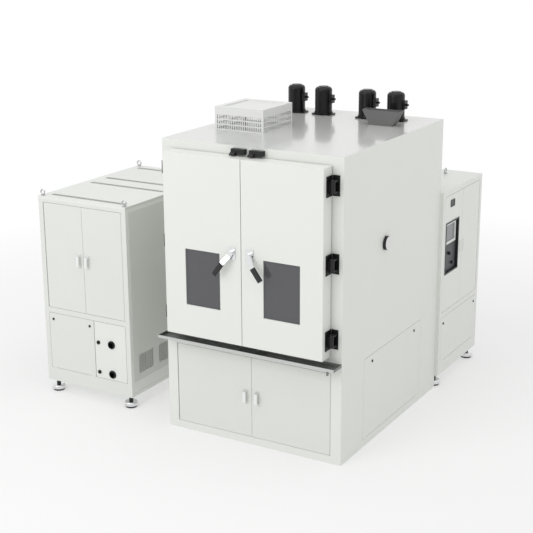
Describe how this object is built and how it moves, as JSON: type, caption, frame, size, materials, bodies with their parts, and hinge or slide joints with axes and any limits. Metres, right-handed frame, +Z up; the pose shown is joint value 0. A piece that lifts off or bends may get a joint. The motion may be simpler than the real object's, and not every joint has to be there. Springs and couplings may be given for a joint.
{
  "type": "environmental test chamber",
  "caption": "Drive-in climatic test chamber with insulated double doors, windows and lever handles, roof fans, a cooling cabinet beside it and a control cabinet at its back.",
  "frame": {"origin": "centre of the chamber's underside on the floor", "axes": "+Z up, -Y out of the chamber's front doors, +X to the right seen from the front"},
  "size_m": [3.095, 3.0765, 2.751],
  "materials": {
    "base_frame": "satin",
    "outer_casing": "satin",
    "vent_box": "satin",
    "cooling_cabinet": "satin",
    "cooling_panels": "satin",
    "control_cabinet": "satin",
    "cooling_door_left": "satin",
    "cooling_door_right": "satin",
    "control_door_left": "satin",
    "control_door_right": "satin",
    "left_base_door": "satin",
    "right_base_door": "satin",
    "service_panel": "satin",
    "cooling_panel": "satin",
    "control_panel": "satin",
    "left_door_leaf": "satin",
    "right_door_leaf": "satin",
    "fan_motors": "satin",
    "door_catches": "satin",
    "hinge_brackets": "satin",
    "left_door_fittings": "satin",
    "right_door_fittings": "satin",
    "refrigeration_set": "satin",
    "test_space_liner": "brushed",
    "drip_tray": "brushed",
    "port_flange": "brushed",
    "intake_hopper": "brushed",
    "air_baffle": "brushed",
    "left_upper_rod": "brushed",
    "left_lower_rod": "brushed",
    "right_upper_rod": "brushed",
    "right_lower_rod": "brushed",
    "left_lever": "polished",
    "right_lever": "polished",
    "feet_and_lifting_eyes": "polished",
    "evaporator": "satin",
    "fan_rotor_1": "satin",
    "fan_rotor_2": "satin",
    "fan_rotor_3": "satin",
    "fan_rotor_4": "satin",
    "left_door_gasket": "matte",
    "right_door_gasket": "matte",
    "left_door_window": "polished",
    "right_door_window": "polished",
    "insulation": "matte",
    "port_plug": "matte",
    "left_lever_grip": "matte",
    "right_lever_grip": "matte",
    "operator_panel": "matte",
    "screen": "matte",
    "selector_knob": "matte",
    "push_button": "matte",
    "switchgear": "matte",
    "pipe_ports": "matte",
    "service_latch_1": "matte",
    "service_latch_2": "matte",
    "cooling_latch_1": "matte",
    "cooling_latch_2": "matte",
    "control_latch_1": "matte",
    "control_latch_2": "matte"
  },
  "bodies": {
    "chamber": {"base_frame": "base_frame", "insulation": "insulation", "outer_casing": "outer_casing", "test_space_liner": "test_space_liner", "drip_tray": "drip_tray", "door_catches": "door_catches", "hinge_brackets": "hinge_brackets", "port_flange": "port_flange", "vent_box": "vent_box", "intake_hopper": "intake_hopper", "fan_motors": "fan_motors", "air_baffle": "air_baffle", "evaporator": "evaporator", "cooling_cabinet": "cooling_cabinet", "cooling_panels": "cooling_panels", "pipe_ports": "pipe_ports", "refrigeration_set": "refrigeration_set", "control_cabinet": "control_cabinet", "switchgear": "switchgear", "feet_and_lifting_eyes": "feet_and_lifting_eyes"},
    "control_door_left": {"control_door_left": "control_door_left", "operator_panel": "operator_panel", "screen": "screen"},
    "right_door": {"right_door_leaf": "right_door_leaf", "right_door_gasket": "right_door_gasket", "right_door_window": "right_door_window", "right_door_fittings": "right_door_fittings"},
    "right_lever": {"right_lever": "right_lever", "right_lever_grip": "right_lever_grip"},
    "right_upper_rod": {"right_upper_rod": "right_upper_rod"},
    "right_lower_rod": {"right_lower_rod": "right_lower_rod"},
    "right_base_door": {"right_base_door": "right_base_door"},
    "cooling_door_right": {"cooling_door_right": "cooling_door_right"},
    "control_door_right": {"control_door_right": "control_door_right"},
    "left_door": {"left_door_leaf": "left_door_leaf", "left_door_gasket": "left_door_gasket", "left_door_window": "left_door_window", "left_door_fittings": "left_door_fittings"},
    "left_lever": {"left_lever": "left_lever", "left_lever_grip": "left_lever_grip"},
    "left_upper_rod": {"left_upper_rod": "left_upper_rod"},
    "left_lower_rod": {"left_lower_rod": "left_lower_rod"},
    "left_base_door": {"left_base_door": "left_base_door"},
    "cooling_door_left": {"cooling_door_left": "cooling_door_left"},
    "fan_rotor_1": {"fan_rotor_1": "fan_rotor_1"},
    "fan_rotor_2": {"fan_rotor_2": "fan_rotor_2"},
    "fan_rotor_3": {"fan_rotor_3": "fan_rotor_3"},
    "fan_rotor_4": {"fan_rotor_4": "fan_rotor_4"},
    "port_plug": {"port_plug": "port_plug"},
    "service_panel": {"service_panel": "service_panel"},
    "service_latch_1": {"service_latch_1": "service_latch_1"},
    "service_latch_2": {"service_latch_2": "service_latch_2"},
    "cooling_panel": {"cooling_panel": "cooling_panel"},
    "cooling_latch_1": {"cooling_latch_1": "cooling_latch_1"},
    "cooling_latch_2": {"cooling_latch_2": "cooling_latch_2"},
    "control_panel": {"control_panel": "control_panel"},
    "control_latch_1": {"control_latch_1": "control_latch_1"},
    "control_latch_2": {"control_latch_2": "control_latch_2"},
    "selector_knob": {"selector_knob": "selector_knob"},
    "push_button": {"push_button": "push_button"}
  },
  "joints": [
    {"name": "right_door_hinge", "type": "hinge", "parent": "chamber", "child": "right_door", "pos_m": [0.76, -1.02, 1.67], "axis": [0, 0, 1], "range_deg": [0, 110]},
    {"name": "right_lever_turn", "type": "hinge", "parent": "right_door", "child": "right_lever", "pos_m": [0.082, -1.103, 1.675], "axis": [0, -1, 0], "range_deg": [0, 90]},
    {"name": "right_upper_rod_slide", "type": "slide", "parent": "right_door", "child": "right_upper_rod", "axis": [0, 0, 1], "range_m": [0, 0.02]},
    {"name": "right_lower_rod_slide", "type": "slide", "parent": "right_door", "child": "right_lower_rod", "axis": [0, 0, -1], "range_m": [0, 0.02]},
    {"name": "right_base_door_hinge", "type": "hinge", "parent": "chamber", "child": "right_base_door", "pos_m": [0.7125, -0.9425, 0.419], "axis": [0, 0, 1], "range_deg": [0, 95]},
    {"name": "cooling_door_right_hinge", "type": "hinge", "parent": "chamber", "child": "cooling_door_right", "pos_m": [-1.3525, -0.8475, 1.307], "axis": [0, 0, 1], "range_deg": [0, 95]},
    {"name": "control_door_right_hinge", "type": "hinge", "parent": "chamber", "child": "control_door_right", "pos_m": [0.8375, 1.8425, 1.251], "axis": [0, 0, 1], "range_deg": [0, 95]},
    {"name": "left_door_hinge", "type": "hinge", "parent": "chamber", "child": "left_door", "pos_m": [-0.76, -1.02, 1.67], "axis": [0, 0, -1], "range_deg": [0, 110]},
    {"name": "left_lever_turn", "type": "hinge", "parent": "left_door", "child": "left_lever", "pos_m": [-0.082, -1.103, 1.675], "axis": [0, 1, 0], "range_deg": [0, 90]},
    {"name": "left_upper_rod_slide", "type": "slide", "parent": "left_door", "child": "left_upper_rod", "axis": [0, 0, 1], "range_m": [0, 0.02]},
    {"name": "left_lower_rod_slide", "type": "slide", "parent": "left_door", "child": "left_lower_rod", "axis": [0, 0, -1], "range_m": [0, 0.02]},
    {"name": "left_base_door_hinge", "type": "hinge", "parent": "chamber", "child": "left_base_door", "pos_m": [-0.7125, -0.9425, 0.419], "axis": [0, 0, -1], "range_deg": [0, 95]},
    {"name": "cooling_door_left_hinge", "type": "hinge", "parent": "chamber", "child": "cooling_door_left", "pos_m": [-2.1775, -0.8475, 1.307], "axis": [0, 0, -1], "range_deg": [0, 95]},
    {"name": "control_door_left_hinge", "type": "hinge", "parent": "chamber", "child": "control_door_left", "pos_m": [0.8375, 1.0175, 1.251], "axis": [0, 0, -1], "range_deg": [0, 95]},
    {"name": "fan_spin_1", "type": "hinge", "parent": "chamber", "child": "fan_rotor_1", "pos_m": [-0.487, 0.685, 2.4], "axis": [0, 0, 1], "continuous": true},
    {"name": "fan_spin_2", "type": "hinge", "parent": "chamber", "child": "fan_rotor_2", "pos_m": [-0.215, 0.685, 2.4], "axis": [0, 0, 1], "continuous": true},
    {"name": "fan_spin_3", "type": "hinge", "parent": "chamber", "child": "fan_rotor_3", "pos_m": [0.215, 0.685, 2.4], "axis": [0, 0, 1], "continuous": true},
    {"name": "fan_spin_4", "type": "hinge", "parent": "chamber", "child": "fan_rotor_4", "pos_m": [0.487, 0.685, 2.4], "axis": [0, 0, 1], "continuous": true},
    {"name": "port_plug_pull", "type": "slide", "parent": "chamber", "child": "port_plug", "axis": [1, 0, 0], "range_m": [0, 0.08]},
    {"name": "service_panel_lift", "type": "slide", "parent": "chamber", "child": "service_panel", "axis": [1, 0, 0], "range_m": [0, 0.12]},
    {"name": "service_latch_turn_1", "type": "hinge", "parent": "service_panel", "child": "service_latch_1", "pos_m": [0.82, -0.4, 0.71], "axis": [1, 0, 0], "range_deg": [0, 90]},
    {"name": "service_latch_turn_2", "type": "hinge", "parent": "service_panel", "child": "service_latch_2", "pos_m": [0.82, 0.445, 0.71], "axis": [-1, 0, 0], "range_deg": [0, 90]},
    {"name": "cooling_panel_lift", "type": "slide", "parent": "chamber", "child": "cooling_panel", "axis": [0, -1, 0], "range_m": [0, 0.12]},
    {"name": "cooling_latch_turn_1", "type": "hinge", "parent": "cooling_panel", "child": "cooling_latch_1", "pos_m": [-2.144, -0.86, 0.71], "axis": [0, -1, 0], "range_deg": [0, 90]},
    {"name": "cooling_latch_turn_2", "type": "hinge", "parent": "cooling_panel", "child": "cooling_latch_2", "pos_m": [-1.732, -0.86, 0.71], "axis": [0, 1, 0], "range_deg": [0, 90]},
    {"name": "control_panel_lift", "type": "slide", "parent": "chamber", "child": "control_panel", "axis": [1, 0, 0], "range_m": [0, 0.12]},
    {"name": "control_latch_turn_1", "type": "hinge", "parent": "control_panel", "child": "control_latch_1", "pos_m": [0.85, 1.051, 0.597], "axis": [1, 0, 0], "range_deg": [0, 90]},
    {"name": "control_latch_turn_2", "type": "hinge", "parent": "control_panel", "child": "control_latch_2", "pos_m": [0.85, 1.809, 0.597], "axis": [-1, 0, 0], "range_deg": [0, 90]},
    {"name": "selector_turn", "type": "hinge", "parent": "control_door_left", "child": "selector_knob", "pos_m": [0.84, 1.159, 1.24], "axis": [1, 0, 0], "range_deg": [0, 90]},
    {"name": "button_press", "type": "slide", "parent": "control_door_left", "child": "push_button", "axis": [-1, 0, 0], "range_m": [0, 0.005], "stiffness_N_per_m": 400}
  ],
  "couplings": [
    {"joint": "right_upper_rod_slide", "follows": "right_lever_turn", "m_per_rad": 0.0127},
    {"joint": "right_lower_rod_slide", "follows": "right_lever_turn", "m_per_rad": 0.0127},
    {"joint": "left_upper_rod_slide", "follows": "left_lever_turn", "m_per_rad": 0.0127},
    {"joint": "left_lower_rod_slide", "follows": "left_lever_turn", "m_per_rad": 0.0127}
  ]
}
